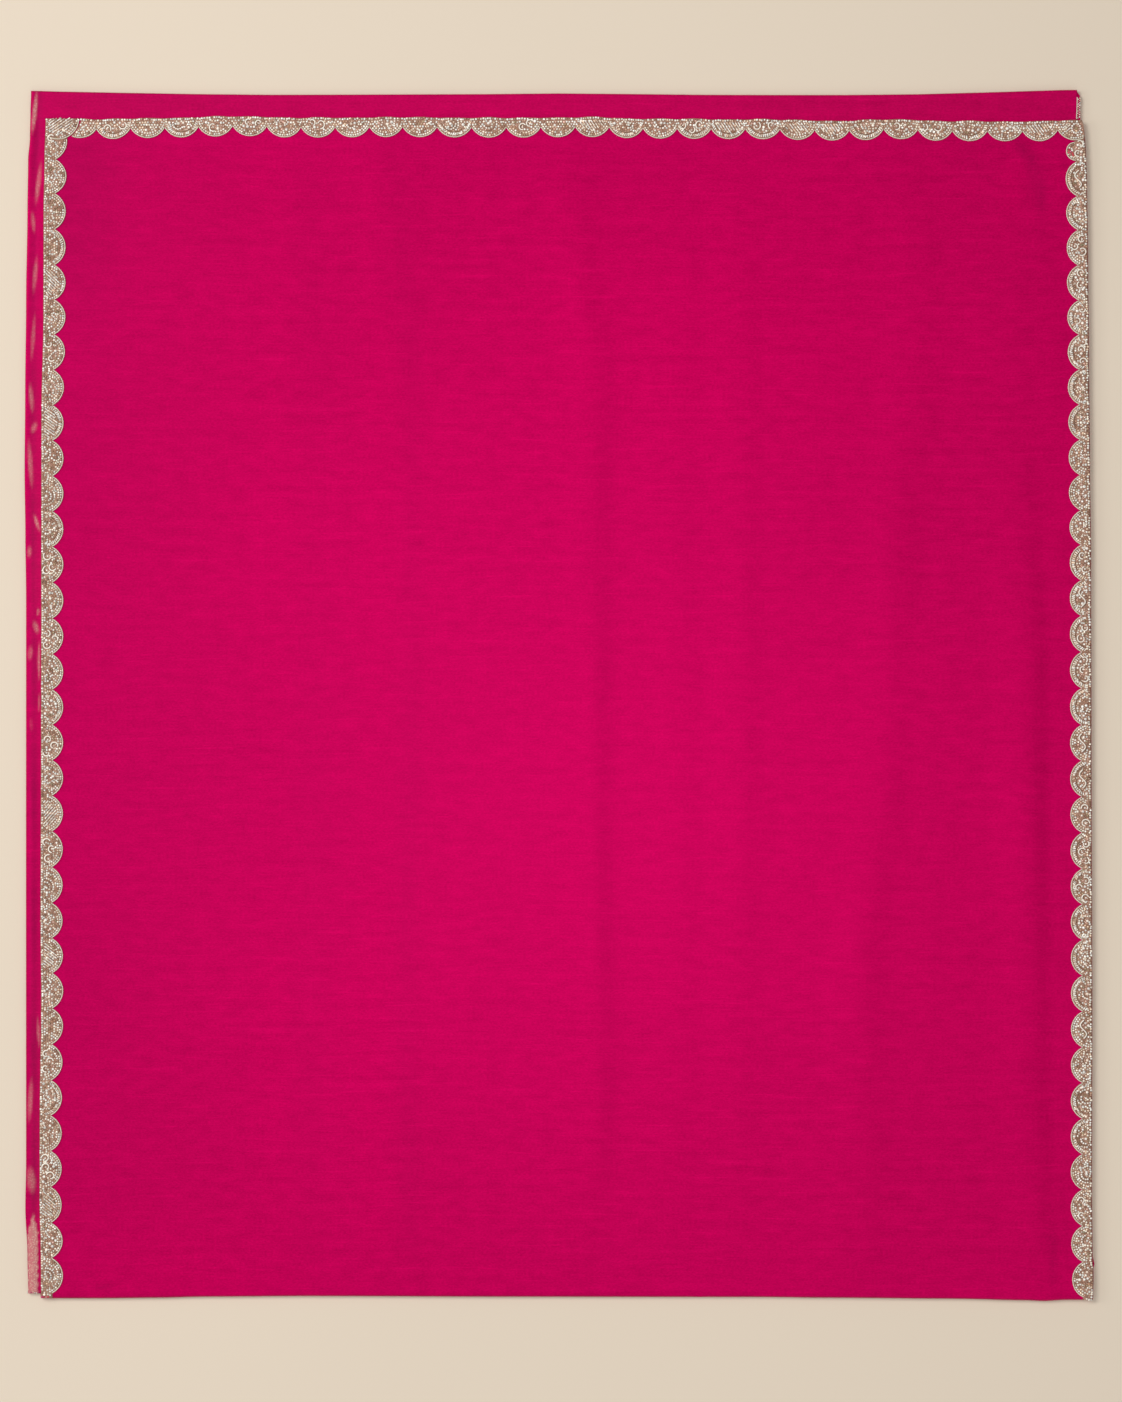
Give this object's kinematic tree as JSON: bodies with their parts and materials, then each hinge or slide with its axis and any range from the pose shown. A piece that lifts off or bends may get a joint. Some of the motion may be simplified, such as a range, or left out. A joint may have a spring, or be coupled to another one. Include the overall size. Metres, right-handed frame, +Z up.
{
  "type": "folded saree",
  "caption": "Silk saree folded flat in stacked lengths, with scalloped bead lace along the sides and end of its top panel.",
  "frame": {"origin": "middle of the flat underside of the folded saree, on the surface it lies on", "axes": "+Z up out of the surface, +Y along the folded lengths to the laced end of the top panel, +X to the right of someone who stands at the panel's folded end"},
  "size_m": [1.1199, 1.2671, 0.0086],
  "materials": {
    "silk": "plain-woven silk with fine slubs across the width, soft low sheen",
    "beadwork": "net covered in champagne glass beads, crystals and couched metallic cord"
  },
  "bodies": {
    "root": {"pallu_panel": "silk", "second_stretch": "silk", "folded_stack": "silk", "pallu_end_lace": "beadwork", "left_edge_lace": "beadwork", "right_edge_lace": "beadwork"}
  },
  "joints": []
}
